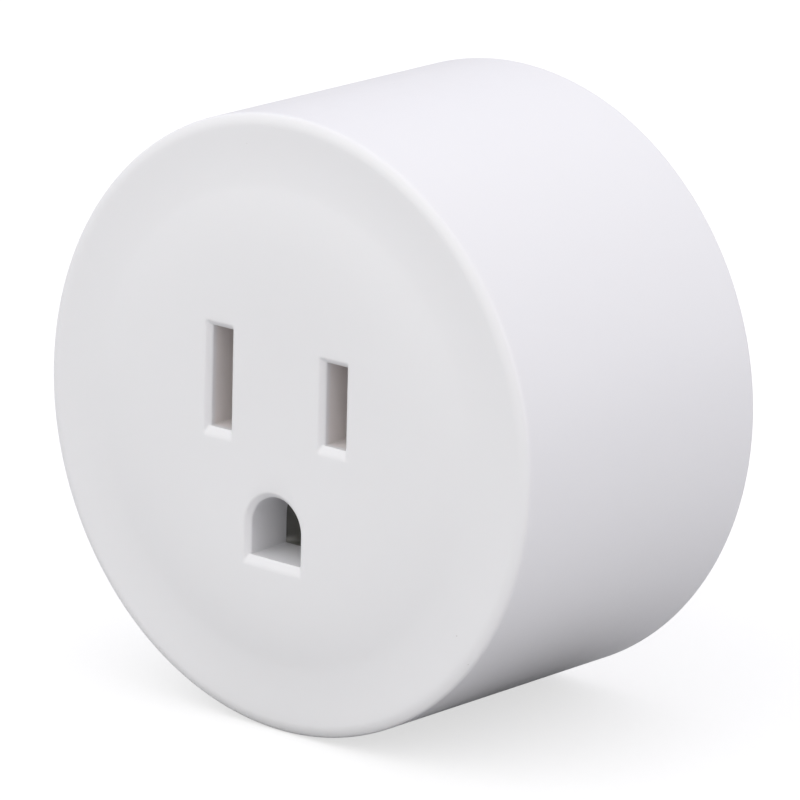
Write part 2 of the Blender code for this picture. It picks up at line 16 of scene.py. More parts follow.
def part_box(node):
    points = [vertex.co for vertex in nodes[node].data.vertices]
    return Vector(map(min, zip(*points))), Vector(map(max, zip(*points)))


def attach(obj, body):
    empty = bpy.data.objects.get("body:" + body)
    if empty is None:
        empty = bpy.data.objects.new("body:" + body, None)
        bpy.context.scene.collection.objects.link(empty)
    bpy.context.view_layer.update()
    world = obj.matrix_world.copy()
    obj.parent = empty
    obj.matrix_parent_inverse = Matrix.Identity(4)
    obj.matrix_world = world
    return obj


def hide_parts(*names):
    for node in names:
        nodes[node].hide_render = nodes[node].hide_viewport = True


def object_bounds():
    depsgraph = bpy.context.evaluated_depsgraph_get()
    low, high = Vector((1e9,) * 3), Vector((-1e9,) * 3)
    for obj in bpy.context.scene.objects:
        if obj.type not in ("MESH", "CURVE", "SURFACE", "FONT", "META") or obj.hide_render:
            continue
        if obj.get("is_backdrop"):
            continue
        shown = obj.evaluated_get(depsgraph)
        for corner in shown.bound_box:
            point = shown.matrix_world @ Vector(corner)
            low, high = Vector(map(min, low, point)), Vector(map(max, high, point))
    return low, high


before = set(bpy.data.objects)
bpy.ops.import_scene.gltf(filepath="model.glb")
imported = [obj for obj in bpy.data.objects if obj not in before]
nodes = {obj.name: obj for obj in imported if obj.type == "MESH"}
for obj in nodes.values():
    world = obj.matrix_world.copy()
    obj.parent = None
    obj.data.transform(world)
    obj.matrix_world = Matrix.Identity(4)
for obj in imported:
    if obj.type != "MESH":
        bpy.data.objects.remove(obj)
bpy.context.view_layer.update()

MM = 0.001
FACE = Matrix.Rotation(pi / 2, 4, "X")          # face coordinates to the row frame
scene = bpy.context.scene

# ------------------------------------------------------------------ sizes, read from the frame where it holds them
lo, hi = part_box("front_housing")
BODY_R = (hi.x - lo.x) / 2 / MM                  # 26.6
FACE_TOP = -lo.y / MM                            # 31.0
lo_b, hi_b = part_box("neutral_blade")
HALF = -(lo_b.x + hi_b.x) / 2 / MM               # 6.35
BLADE_T = (hi_b.x - lo_b.x) / MM
BLADE_TIP = hi_b.y / MM                          # 17.5
lo_p, hi_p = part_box("ground_pin")
GROUND_Y = (lo_p.z + hi_p.z) / 2 / MM            # -8.8
PIN_TIP = hi_p.y / MM                            # 20.8
lo_c, hi_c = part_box("rear_cover")
COVER_R = (hi_c.x - lo_c.x) / 2 / MM
BLADE_Y = 3.1
NEUTRAL_SLOT = (2.24, 8.91)
LINE_SLOT = (2.29, 7.31)
GROUND_W = 5.49
GROUND_FLAT = 2.79
BODY_DEPTH = 29.94
SLOT_Y = 3.13                                    # middle of the slots in the face
SILL = 0.19                                      # the openings' lower edges are rounded, and further than the others
SILL_RUN = 0.88
SILL_DEPTH = 0.34
FLOOR_DRAFT = 0.12
BUTTON_Z = 13.5
BUTTON_R = 3.5
LIGHT_ANGLE = 160.0
BOSSES = ((-14.5, 14.5), (14.5, 14.5), (0.0, -20.5))
INNER_R = BODY_R - 1.8
SEAT_Z = 8.5
COLLAR_Z = 26.12                                 # the openings' collars reach down to the contact carrier


# ------------------------------------------------------------------ mesh helpers
def finish_mesh(bm, name, angle=32, normals=True):
    if normals:
        bmesh.ops.recalc_face_normals(bm, faces=bm.faces)
    mesh = bpy.data.meshes.new(name)
    bm.to_mesh(mesh)
    bm.free()
    mesh.shade_smooth()
    mesh.set_sharp_from_angle(angle=radians(angle))
    return mesh


def shape(name, bm, angle=32):
    obj = bpy.data.objects.new(name, finish_mesh(bm, name, angle))
    scene.collection.objects.link(obj)
    return obj


def revolve(name, profile, segments=192, at=(0, 0), closed=False, angle=32):
    """Turns (radius, z) points about the z axis through at. A radius of 0 is a single point."""
    bm = bmesh.new()
    rings = []
    for r, z in profile:
        if r < 1e-9:
            rings.append([bm.verts.new((at[0] * MM, at[1] * MM, z * MM))])
        else:
            rings.append([
                bm.verts.new(((at[0] + r * cos(2 * pi * i / segments)) * MM, (at[1] + r * sin(2 * pi * i / segments)) * MM, z * MM))
                for i in range(segments)
            ])
    pairs = list(zip(rings, rings[1:]))
    if closed:
        pairs.append((rings[-1], rings[0]))
    for a, b in pairs:
        for i in range(segments):
            j = (i + 1) % segments
            if len(a) == 1 and len(b) == 1:
                break
            if len(a) == 1:
                bm.faces.new((a[0], b[i], b[j]))
            elif len(b) == 1:
                bm.faces.new((a[i], b[0], a[j]))
            else:
                bm.faces.new((a[i], b[i], b[j], a[j]))
    return shape(name, bm, angle)


def loft(name, levels, angle=32):
    """levels: (outline, z) loops with equal counts, capped at both ends."""
    bm = bmesh.new()
    loops = [[bm.verts.new((x * MM, y * MM, z * MM)) for x, y in outline] for outline, z in levels]
    n = len(loops[0])
    for a, b in zip(loops, loops[1:]):
        for i in range(n):
            j = (i + 1) % n
            bm.faces.new((a[i], a[j], b[j], b[i]))
    bm.faces.new(loops[0][::-1])
    bm.faces.new(loops[-1])
    return shape(name, bm, angle)


def box(name, x, y, z):
    bm = bmesh.new()
    size = Vector((x[1] - x[0], y[1] - y[0], z[1] - z[0])) * MM
    mid = Vector((x[0] + x[1], y[0] + y[1], z[0] + z[1])) / 2 * MM
    bmesh.ops.create_cube(bm, size=1, matrix=Matrix.Translation(mid) @ Matrix.Diagonal((*size, 1)))
    return shape(name, bm)


def place(obj, matrix):
    obj.data.transform(matrix)
    return obj


def arc(cx, cy, r, a0, a1, steps):
    return [(cx + r * cos(radians(a0 + (a1 - a0) * i / steps)), cy + r * sin(radians(a0 + (a1 - a0) * i / steps))) for i in range(steps + 1)]


def rounded(cx, cy, w, h, r, steps=5):
    out = []
    for sx, sy, a in ((1, -1, -90), (1, 1, 0), (-1, 1, 90), (-1, -1, 180)):
        out += arc(cx + sx * (w / 2 - r), cy + sy * (h / 2 - r), r, a, a + 90, steps)
    return out


def sill(grow, depth):
    """How far an opening's lower edge is cut back at a depth below the face."""
    if depth > SILL_DEPTH:
        return -FLOOR_DRAFT * (depth - SILL_DEPTH) / (6.0 - SILL_DEPTH)
    return SILL_RUN * (1 - (max(0.0, depth) / SILL_DEPTH) ** 0.66) + max(0.0, grow - 0.61) * 0.5


def arch(grow, corner=0.05, drop=None):
    """The ground hole: half round on top, flat with small corners below, grown outwards."""
    drop = grow if drop is None else drop
    r, low, c = GROUND_W / 2 + grow, GROUND_Y - GROUND_FLAT + SILL - drop, corner + grow * 0.4
    return [*arc(0.04, GROUND_Y + 0.085, r, 0, 180, 36), *arc(0.04 - r + c, low + c, c, 180, 270, 5), *arc(0.04 + r - c, low + c, c, 270, 360, 5)]


def combine(obj, others, operation):
    """Applies exact Booleans and takes the helpers away."""
    for other in others:
        mod = obj.modifiers.new("b", "BOOLEAN")
        mod.operation, mod.object, mod.solver = operation, other, "EXACT"
    bpy.context.view_layer.update()
    graph = bpy.context.evaluated_depsgraph_get()
    mesh = bpy.data.meshes.new_from_object(obj.evaluated_get(graph))
    obj.modifiers.clear()
    old = obj.data
    obj.data = mesh
    bpy.data.meshes.remove(old)
    for other in others:
        old = other.data
        bpy.data.objects.remove(other)
        bpy.data.meshes.remove(old)
    return obj


def apply_all(obj):
    bpy.context.view_layer.update()
    graph = bpy.context.evaluated_depsgraph_get()
    mesh = bpy.data.meshes.new_from_object(obj.evaluated_get(graph))
    obj.modifiers.clear()
    old = obj.data
    obj.data = mesh
    bpy.data.meshes.remove(old)
    return obj


def bevel(obj, width, segments=3, angle=30):
    mod = obj.modifiers.new("bevel", "BEVEL")
    mod.width, mod.segments, mod.limit_method, mod.angle_limit = width * MM, segments, "ANGLE", radians(angle)
    mod.use_clamp_overlap = True
    return apply_all(obj)


def clean(obj, angle=32, merge=1e-7):
    """Welds what a Boolean left double, drops slivers and shades by area."""
    bm = bmesh.new()
    bm.from_mesh(obj.data)
    bmesh.ops.remove_doubles(bm, verts=bm.verts, dist=merge)
    bmesh.ops.dissolve_degenerate(bm, edges=bm.edges, dist=merge)
    bm.to_mesh(obj.data)
    bm.free()
    obj.data.shade_smooth()
    obj.data.set_sharp_from_angle(angle=radians(angle))
    mod = obj.modifiers.new("area_normals", "WEIGHTED_NORMAL")
    mod.weight, mod.keep_sharp, mod.mode = 80, True, "FACE_AREA"
    return obj


def dress(obj, mat, body, slot, *replaced):
    obj.data.materials.clear()
    obj.data.materials.append(mat)
    if obj.type == "MESH":
        obj.data.transform(FACE)
    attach(obj, body)
    if replaced:
        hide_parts(*replaced)
    return obj


# ------------------------------------------------------------------ materials
class Finish:
    """A Principled material whose colour, roughness and relief come from procedural nodes."""

    def __init__(self, name, colour, roughness, metallic=0.0):
        self.mat = bpy.data.materials.new(name)
        self.mat.use_nodes = True
        self.nodes, self.links = self.mat.node_tree.nodes, self.mat.node_tree.links
        self.bsdf = self.nodes["Principled BSDF"]
        self.bsdf.inputs["Metallic"].default_value = metallic
        self.bsdf.inputs["Roughness"].default_value = roughness
        self.bsdf.inputs["Base Color"].default_value = (*colour, 1)
        self.colour = colour
        self.coord = self.nodes.new("ShaderNodeTexCoord").outputs["Object"]
        self.relief = []

    def set(self, **values):
        for key, value in values.items():
            self.bsdf.inputs[key.replace("_", " ")].default_value = value
        return self

    def mapped(self, scale):
        m = self.nodes.new("ShaderNodeMapping")
        m.inputs["Scale"].default_value = scale
        self.links.new(self.coord, m.inputs["Vector"])
        return m.outputs["Vector"]

    def noise(self, size_mm, detail=3.0, rough=0.55, stretch=(1, 1, 1)):
        """Noise with features about size_mm across."""
        n = self.nodes.new("ShaderNodeTexNoise")
        n.inputs["Scale"].default_value = 1.0
        n.inputs["Detail"].default_value = detail
        n.inputs["Roughness"].default_value = rough
        k = 1 / (size_mm * MM)
        self.links.new(self.mapped(tuple(k * s for s in stretch)), n.inputs["Vector"])
        return n.outputs["Fac"]

    def cells(self, size_mm, feature="F1", randomness=1.0):
        v = self.nodes.new("ShaderNodeTexVoronoi")
        v.feature = feature
        v.inputs["Scale"].default_value = 1.0
        v.inputs["Randomness"].default_value = randomness
        k = 1 / (size_mm * MM)
        self.links.new(self.mapped((k, k, k)), v.inputs["Vector"])
        return v

    def ramp(self, value, low, high, out_low=0.0, out_high=1.0, smooth=True):
        r = self.nodes.new("ShaderNodeMapRange")
        r.interpolation_type = "SMOOTHSTEP" if smooth else "LINEAR"
        for key, v in (("From Min", low), ("From Max", high), ("To Min", out_low), ("To Max", out_high)):
            r.inputs[key].default_value = v
        self.links.new(value, r.inputs["Value"])
        return r.outputs["Result"]

    def math(self, op, a, b=None, clamp=False):
        m = self.nodes.new("ShaderNodeMath")
        m.operation, m.use_clamp = op, clamp
        for i, v in enumerate((a, b)):
            if v is None:
                continue
            if isinstance(v, (int, float)):
                m.inputs[i].default_value = v
            else:
                self.links.new(v, m.inputs[i])
        return m.outputs["Value"]

    def axis(self, which):
        s = self.nodes.new("ShaderNodeSeparateXYZ")
        self.links.new(self.coord, s.inputs["Vector"])
        return s.outputs[which]

    def tint(self, factor, colour):
        """Mixes another colour over what the base colour is so far."""
        mix = self.nodes.new("ShaderNodeMix")
        mix.data_type = "RGBA"
        target = self.bsdf.inputs["Base Color"]
        if target.is_linked:
            self.links.new(target.links[0].from_socket, mix.inputs[6])
        else:
            mix.inputs[6].default_value = target.default_value[:]
        mix.inputs[7].default_value = (*colour, 1)
        self.links.new(factor, mix.inputs[0])
        self.links.new(mix.outputs[2], target)
        return self

    def rough(self, value, low, high, out_low, out_high):
        self.links.new(self.ramp(value, low, high, out_low, out_high, smooth=False), self.bsdf.inputs["Roughness"])
        return self

    def bump(self, height, depth_mm, strength=1.0):
        """Adds relief: height 0..1 over depth_mm."""
        b = self.nodes.new("ShaderNodeBump")
        b.inputs["Strength"].default_value = strength
        b.inputs["Distance"].default_value = depth_mm * MM
        self.links.new(height, b.inputs["Height"])
        target = self.bsdf.inputs["Normal"]
        if target.is_linked:
            self.links.new(target.links[0].from_socket, b.inputs["Normal"])
        self.links.new(b.outputs["Normal"], target)
        return self


def moulded(name, colour, roughness=0.42, warm=0.03, grain=0.004, specks=True, subsurface=0.0):
    """Moulded thermoplastic: a very fine spark-eroded grain, faint flow variation, a few specks."""
    f = Finish(name, colour, roughness)
    flow = f.noise(9.0, 2.0, 0.5)
    fine = f.noise(0.14, 2.0, 0.6)
    f.tint(f.ramp(flow, 0.35, 0.7, 0.0, warm), tuple(c * 0.9 for c in colour))
    f.rough(f.noise(1.8, 3.0), 0.3, 0.7, roughness - 0.035, roughness + 0.035)
    if specks:
        v = f.cells(1.15)
        near = f.math("LESS_THAN", v.outputs["Distance"], 0.055)
        pick = f.nodes.new("ShaderNodeSeparateColor")
        f.links.new(v.outputs["Color"], pick.inputs["Color"])
        rare = f.math("GREATER_THAN", pick.outputs["Red"], 0.988)
        f.tint(f.math("MULTIPLY", f.math("MULTIPLY", near, rare), 0.45), (0.35, 0.33, 0.31))
    f.bump(fine, grain)
    if subsurface:
        f.set(Subsurface_Weight=subsurface, Subsurface_Radius=(1.0, 0.85, 0.75), Subsurface_Scale=0.0012)
    return f


def plated(name, colour, roughness=0.26, stretch=(1, 0.08, 1), tarnish=(0.55, 0.5, 0.42)):
    """Rolled or plated metal strip: lines along the strip, a little cloudiness and fine scratches."""
    f = Finish(name, colour, roughness, 1.0)
    lines = f.noise(0.12, 3.0, 0.6, stretch)
    clouds = f.noise(3.5, 3.0)
    f.tint(f.ramp(clouds, 0.4, 0.75, 0.0, 0.22), tarnish)
    f.rough(lines, 0.3, 0.7, roughness - 0.07, roughness + 0.1)
    f.bump(lines, 0.003)
    f.bump(f.ramp(f.noise(0.8, 4.0, 0.7, (1, 3, 1)), 0.62, 0.66), 0.002)
    return f


WHITE = moulded("white_moulded_plastic", (0.745, 0.741, 0.762), 0.36, subsurface=0.05).set(IOR=1.5)
# painted reflection: inside the two slots the walls get a warm tint that stands in for light reflected from the brass
# contacts behind them
painted_reflection_depth = WHITE.ramp(WHITE.axis("Y"), -0.0304, -0.0298)
upper = WHITE.ramp(WHITE.axis("Z"), -0.005, -0.003)
near = WHITE.math("ADD", WHITE.math("POWER", WHITE.math("ABSOLUTE", WHITE.axis("X")), 2.0), WHITE.math("POWER", WHITE.math("ABSOLUTE", WHITE.axis("Z")), 2.0))
near = WHITE.ramp(near, 0.000225, 0.000324, 1.0, 0.0)
WHITE.tint(WHITE.math("MULTIPLY", WHITE.math("MULTIPLY", painted_reflection_depth, upper), near), (0.745, 0.706, 0.702))
COVER = moulded("rear_cover_plastic", (0.735, 0.731, 0.75), 0.5, grain=0.008, subsurface=0.05)
BUTTON = moulded("button_plastic", (0.725, 0.721, 0.74), 0.36, specks=False, subsurface=0.05)
INSULATOR = moulded("insulator_plastic", (0.035, 0.035, 0.038), 0.5, specks=False, grain=0.01)
BLACK = moulded("black_component_plastic", (0.02, 0.02, 0.022), 0.48, specks=False, grain=0.012)
RELAY = moulded("relay_case_plastic", (0.02, 0.09, 0.3), 0.3, specks=False)
BOBBIN = moulded("bobbin_plastic", (0.62, 0.6, 0.5), 0.45, specks=False)
NICKEL = plated("nickel_plate", (0.74, 0.71, 0.655), 0.24)
PIN_METAL = plated("ground_pin_plate", (0.75, 0.72, 0.665), 0.22, stretch=(1, 1.4, 1))
BRASS = plated("contact_brass", (0.62, 0.5, 0.31), 0.33, stretch=(1, 0.2, 1), tarnish=(0.3, 0.22, 0.13))
TINNED = plated("tinned_contact", (0.36, 0.355, 0.335), 0.45, stretch=(1, 0.2, 1), tarnish=(0.3, 0.295, 0.28)).set(Metallic=0.6)
# painted shade: the contact's walls above the channel bottom are tinted almost black, most strongly at the opening's
# end, standing in for the shade inside the ground hole
painted_shade_mouth = TINNED.ramp(TINNED.axis("Y"), -0.0260, -0.0244, 0.72, 0.1)
TINNED.tint(TINNED.math("MULTIPLY", painted_shade_mouth, TINNED.ramp(TINNED.axis("Z"), -0.0112, -0.0106)), (0.05, 0.048, 0.044))
IRON = plated("relay_iron", (0.45, 0.45, 0.46), 0.4, tarnish=(0.3, 0.3, 0.31))
STEEL = plated("zinc_plated_steel", (0.6, 0.62, 0.65), 0.34, tarnish=(0.5, 0.52, 0.42))

CLEAR = Finish("frosted_light_pipe", (0.86, 0.89, 0.92), 0.32)
CLEAR.set(Transmission_Weight=0.55, IOR=1.49, Subsurface_Weight=0.1, Subsurface_Scale=0.001)
CLEAR.rough(CLEAR.noise(0.5), 0.3, 0.7, 0.26, 0.4)
CLEAR.tint(CLEAR.ramp(CLEAR.noise(1.5), 0.4, 0.7, 0.0, 0.2), (0.8, 0.84, 0.9))
CLEAR.bump(CLEAR.noise(0.1), 0.004)

BOARD = Finish("circuit_board_mask", (0.012, 0.12, 0.045), 0.38)
grid = BOARD.cells(1.9, "DISTANCE_TO_EDGE", 0.85)
tracks = BOARD.ramp(grid.outputs["Distance"], 0.07, 0.1, 1.0, 0.0)
BOARD.tint(BOARD.math("MULTIPLY", tracks, 0.8), (0.03, 0.22, 0.08))
pads = BOARD.cells(2.6)
ring = BOARD.math("LESS_THAN", pads.outputs["Distance"], 0.2)
BOARD.tint(ring, (0.62, 0.6, 0.55))
BOARD.rough(BOARD.noise(0.6), 0.3, 0.7, 0.3, 0.44)
BOARD.bump(tracks, 0.03)
BOARD.bump(ring, 0.04)
BOARD.bump(BOARD.noise(0.25), 0.006)

COPPER = Finish("enamelled_copper_wire", (0.6, 0.2, 0.07), 0.28, 0.9)
turns = COPPER.nodes.new("ShaderNodeTexWave")
turns.wave_type, turns.bands_direction = "BANDS", "Y"
turns.inputs["Scale"].default_value = 1 / (0.16 * MM) / 20 * 6.283
turns.inputs["Distortion"].default_value = 0.4
COPPER.links.new(COPPER.coord, turns.inputs["Vector"])
COPPER.tint(COPPER.ramp(turns.outputs["Fac"], 0.0, 0.4, 0.7, 0.0), (0.16, 0.04, 0.015))
COPPER.rough(COPPER.noise(0.5), 0.3, 0.7, 0.22, 0.36)
COPPER.bump(turns.outputs["Fac"], 0.06)

SLEEVE = Finish("capacitor_sleeve", (0.012, 0.013, 0.03), 0.3)
depth = SLEEVE.axis("Y")
stripe = SLEEVE.nodes.new("ShaderNodeTexWave")
stripe.bands_direction = "X"
stripe.inputs["Scale"].default_value = 1 / (9.0 * MM) / 20 * 6.283
SLEEVE.links.new(SLEEVE.coord, stripe.inputs["Vector"])
SLEEVE.tint(SLEEVE.ramp(stripe.outputs["Fac"], 0.93, 0.95), (0.55, 0.56, 0.58))
SLEEVE.rough(SLEEVE.noise(0.9), 0.3, 0.7, 0.24, 0.38)
SLEEVE.bump(SLEEVE.noise(1.4), 0.02)

BLUE = moulded("varistor_coating", (0.02, 0.1, 0.42), 0.25, specks=False, grain=0.02)
BEIGE = moulded("fuse_coating", (0.42, 0.32, 0.2), 0.55, specks=False, grain=0.03)


# ------------------------------------------------------------------ front housing
# slope of the outlet face in degrees against the radius: flat middle, a dome that falls late, a crease, a ring that runs flat
SLOPES = ((0, 0), (7, 0), (10, 0.6), (12, 1.6), (14, 3.2), (16, 5.2), (18, 8.0), (19.4, 9.8), (20.25, 10.4), (20.55, 8.4), (21, 6.1), (21.6, 4.9), (22.3, 4.2), (22.8, 3.0), (23.3, 2.0), (24.0, 1.0), (24.5, 0.2), (25.5, 0))
# the rim rolls over slowly and then tightly: arc length from the face's edge against the slope in degrees
ROLL = ((0, 0), (0.15, 4.2), (0.297, 9), (0.458, 14.5), (0.62, 20), (0.755, 24.5), (0.95, 32), (1.045, 40), (1.11, 50), (1.172, 60), (1.253, 70), (1.356, 80), (1.505, 90))
REAR_FILLET = 0.57
CROWN = FACE_TOP - 0.07                          # where the moulded face lies, just under the frame's flat middle


def slope(r):
    for (r0, s0), (r1, s1) in zip(SLOPES, SLOPES[1:]):
        if r <= r1:
            return s0 + (s1 - s0) * (r - r0) / (r1 - r0)
    return 0.0


def along(table, at):
    for (a0, b0), (a1, b1) in zip(table, table[1:]):
        if at <= a1:
            return b0 + (b1 - b0) * (at - a0) / (a1 - a0)
    return table[-1][1]


roll, inset, depth, STEP = [], 0.0, 0.0, ROLL[-1][0] / 120
for i in range(120):
    lean = radians(along(ROLL, (i + 0.5) * STEP))
    inset, depth = inset + cos(lean) * STEP, depth + sin(lean) * STEP
    if i % 5 == 4:
        roll.append((inset, depth))
ROLL_R = BODY_R - inset                          # where the face ends and the rim begins

radii = [0, 3.5, 7] + [7 + 13 * (i / 40) for i in range(1, 40)]
radii += [20 + 0.1 * i for i in range(14)] + [21.4 + 0.2 * i for i in range(20)] + [ROLL_R]
heights, z, last = [], BODY_DEPTH, radii[-1]
for r in reversed(radii):
    steps = 12
    for i in range(steps):
        z += (last - r) / steps * math.tan(radians(slope(last - (last - r) * (i + 0.5) / steps)))
    heights.append((r, z))
    last = r
heights = heights[::-1]
lift = CROWN - heights[0][1]
skin = [(r, z + lift * max(0.0, 1 - r / 25.0)) for r, z in heights]


def skin_z(r):
    for (r0, z0), (r1, z1) in zip(skin, skin[1:]):
        if r <= r1:
            return z0 + (z1 - z0) * (r - r0) / (r1 - r0)
    return BODY_DEPTH


profile = skin + [(ROLL_R + a, BODY_DEPTH - b) for a, b in roll]
profile += [(BODY_R, 22.0), (BODY_R, 12.0), (BODY_R, 3.0)]
profile += [
    (BODY_R - REAR_FILLET + REAR_FILLET * cos(radians(a)), REAR_FILLET - REAR_FILLET * sin(radians(a))) for a in range(0, 91, 15)
]
profile += [
    (INNER_R + 0.2, 0), (INNER_R, 0.2), (INNER_R, 3.3), (INNER_R + 0.5, 3.6), (INNER_R + 0.5, 4.7), (INNER_R, 5.0),
    (INNER_R, 27.0), (INNER_R - 0.3, 27.7), (INNER_R - 1.0, 28.0), (0, 28.0),
]
housing = revolve("housing_shell", profile, segments=224)

MOUTH = (  # how an opening's edge runs: offset outwards, depth below the face
    (0.0, 6.0), (0.0, 0.61), (0.01, 0.54), (0.03, 0.48), (0.07, 0.415), (0.137, 0.348), (0.204, 0.281), (0.271, 0.214), (0.338, 0.147), (0.405, 0.08),
    (0.465, 0.04), (0.535, 0.012), (0.61, -0.001), (0.8, -0.05), (1.0, -0.8),
)


def conform(obj, at):
    """Lets a cutter's upper levels follow the dome, so that its edge keeps its shape all round."""
    for v in obj.data.vertices:
        if v.co.z > 28.5 * MM:
            v.co.z += (skin_z(math.hypot(v.co.x, v.co.y) / MM) - skin_z(at)) * MM
    return obj



adds, cuts = [], []
for name, side, (w, h) in (("neutral", -1, NEUTRAL_SLOT), ("line", 1, LINE_SLOT)):
    x = side * HALF
    adds.append(loft("collar_" + name, [(rounded(x, BLADE_Y, w + 2.6, h + 2.6, 0.8), COLLAR_Z), (rounded(x, BLADE_Y, w + 2.6, h + 2.6, 0.8), 28.6)]))
    top, low = SLOT_Y + h / 2, SLOT_Y - h / 2 + SILL
    cuts.append(conform(loft("slot_" + name, [
        (rounded(x + 0.03, (top + low + o - sill(o, d)) / 2, w + 2 * o, top - low + o + sill(o, d), 0.07 + 0.45 * o), skin_z(6.5) - d) for o, d in MOUTH
    ]), 6.5))
adds.append(loft("collar_ground", [(arch(1.0), COLLAR_Z), (arch(1.0), 28.6)]))
cuts.append(conform(loft("slot_ground", [(arch(o, drop=sill(o, d)), skin_z(8.5) - d) for o, d in MOUTH]), 8.5))
for i, (bx, by) in enumerate(BOSSES):
    adds.append(revolve(f"boss_{i}", [(0, 28.6), (2.6, 28.6), (2.6, SEAT_Z + 0.2), (2.4, SEAT_Z), (0, SEAT_Z)], 40, at=(bx, by)))
    out = Vector((bx, by)).normalized()
    far, near = out * (INNER_R + 0.6), Vector((bx, by))
    across = Vector((-out.y, out.x)) * 0.6
    quad = [tuple(near - across), tuple(far - across), tuple(far + across), tuple(near + across)]
    adds.append(loft(f"rib_{i}", [(quad, 12.0), (quad, 28.6)]))
    cuts.append(revolve(f"pilot_{i}", [(0, SEAT_Z + 8), (1.25, SEAT_Z + 7.6), (1.25, SEAT_Z + 0.3), (1.6, SEAT_Z - 0.1), (1.6, SEAT_Z - 1), (0, SEAT_Z - 1)], 28, at=(bx, by)))


def side_hole(name, r, flare, edge, angle, segments):
    """A round hole through the side wall, flared where it meets the outside. Its profile runs outwards along +z."""
    hole = revolve(name, [(0, BODY_R - 5), (r, BODY_R - 5), (r, BODY_R - edge), (r + flare * 0.3, BODY_R - edge * 0.62), (r + flare, BODY_R), (r + flare + 1.2, BODY_R + 1.0), (0, BODY_R + 1.0)], segments)
    turn = Matrix.Rotation(radians(angle), 4, "Z") @ Matrix.Rotation(pi / 2, 4, "Y")
    return place(hole, Matrix.Translation((0, 0, BUTTON_Z * MM)) @ turn)


cuts.append(side_hole("hole_button", BUTTON_R + 0.3, 0.3, 0.5, 180, 72))
cuts.append(side_hole("hole_light", 1.45, 0.15, 0.2, LIGHT_ANGLE, 40))
combine(housing, adds, "UNION")
combine(housing, cuts, "DIFFERENCE")
clean(housing, 26)
dress(housing, WHITE.mat, "plug_body", "white_plastic", "front_housing")

# ------------------------------------------------------------------ rear cover
R = COVER_R
cover = revolve("rear_cover_disc", [
    (0, 2.2), (R - 1.9, 2.2), (R - 1.6, 2.5), (R - 1.6, 5.1), (R - 1.4, 5.3), (R - 0.3, 5.3), (R, 5.0), (R, 0.25), (R - 0.07, 0.07), (R - 0.25, 0),
    (R - 1.5, 0), (R - 1.6, 0.06), (R - 1.68, 0.16), (R - 1.84, 0.16), (R - 1.92, 0.06), (R - 2.02, 0), (0, 0),
], segments=192)
hooks = []
for i, angle in enumerate((25, 155, 205, 335)):
    a = radians(angle)
    hooks.append(revolve(f"hook_{i}", [(0, 4.65), (1.1, 4.65), (1.35, 4.3), (1.35, 3.9), (1.2, 3.75), (0, 3.75)], 32, at=((R - 0.8) * cos(a), (R - 0.8) * sin(a))))
combine(cover, hooks, "UNION")
cuts = []
for i in range(4):
    a = radians(90 * i)
    cuts.append(box(f"notch_{i}", (R * cos(a) - 4, R * cos(a) + 4), (R * sin(a) - 4, R * sin(a) + 4), (2.8, 7)))
EDGE = ((0.32, -1.0), (0.32, -0.02), (0.24, 0.05), (0.1, 0.2), (0.0, 0.36), (0.0, 4.0))
for name, side, w in (("neutral", -1, 7.9), ("line", 1, 6.35)):
    cuts.append(loft("exit_" + name, [
        (rounded(side * HALF, BLADE_Y, BLADE_T + 0.6 + 2 * o, w + 0.6 + 2 * o, 0.3 + o, 4), z) for o, z in EDGE
    ]))
cuts.append(revolve("exit_pin", [(0, 4.0), *[(2.68 + o, z) for o, z in reversed(EDGE)], (0, -1.0)], 56, at=(0, GROUND_Y)))
# blank recess where the rating label goes, and the marks that the ejector pins leave
cuts.append(loft("label_recess", [(rounded(0, -17.4, 15.4, 4.6, 0.9), -1.0), (rounded(0, -17.4, 15.4, 4.6, 0.9), 0.0), (rounded(0, -17.4, 15.0, 4.2, 0.7), 0.14)]))
for i, (ex, ey) in enumerate(((-16.5, 3.0), (16.5, 3.0), (0.0, 16.5))):
    cuts.append(revolve(f"ejector_{i}", [(0, 0.07), (1.3, 0.07), (1.42, -0.02), (1.42, -1.0), (0, -1.0)], 40, at=(ex, ey)))
combine(cover, cuts, "DIFFERENCE")
clean(cover, 28)
dress(cover, COVER.mat, "plug_body", "white_plastic", "rear_cover")


# ------------------------------------------------------------------ blades and ground pin
def blade(name, node, side, w):
    half, y, tail = w / 2, BLADE_Y, BLADE_Y - 1.6
    right = [
        (tail + 1.2, 9.0), (tail + 1.2, 4.3), (y + half + 1.4, 4.3), (y + half + 1.4, 2.5),
        (y + half, 2.5), (y + half, -BLADE_TIP + 2.0), (y + half - 0.45, -BLADE_TIP + 0.9), (y + half - 1.5, -BLADE_TIP),
    ]
    left = [(2 * y - a, b) for a, b in right[2:]][::-1]
    outline = right + left + [(tail - 1.2, 4.3), (tail - 1.2, 9.0)]
    obj = loft(name, [(outline, -BLADE_T / 2), (outline, BLADE_T / 2)])
    # the outline lies in (y, z) with the thickness along x
    place(obj, Matrix.Translation((side * HALF * MM, 0, 0)) @ Matrix(((0, 0, 1, 0), (1, 0, 0, 0), (0, 1, 0, 0), (0, 0, 0, 1))))
    hole = revolve(name + "_hole", [(0, 2), (1.65, 2), (1.65, -2), (0, -2)], 56)
    place(hole, Matrix.Translation((side * HALF * MM, y * MM, -11.9 * MM)) @ Matrix.Rotation(pi / 2, 4, "Y"))
    combine(obj, [hole], "DIFFERENCE")
    bevel(obj, 0.22, 3, 40)
    # the tip is thinned towards its end, as stamped blades are
    for v in obj.data.vertices:
        z = v.co.z / MM
        if z < -BLADE_TIP + 2.6:
            t = (-BLADE_TIP + 2.6 - z) / 2.6
            v.co.x = (side * HALF + (v.co.x / MM - side * HALF) * (1 - 0.42 * t * t)) * MM
    clean(obj, 38)
    return dress(obj, NICKEL.mat, "plug_body", "nickel_brass", node)


blade("neutral_blade_strip", "neutral_blade", -1, 7.9)
blade("line_blade_strip", "line_blade", 1, 6.35)

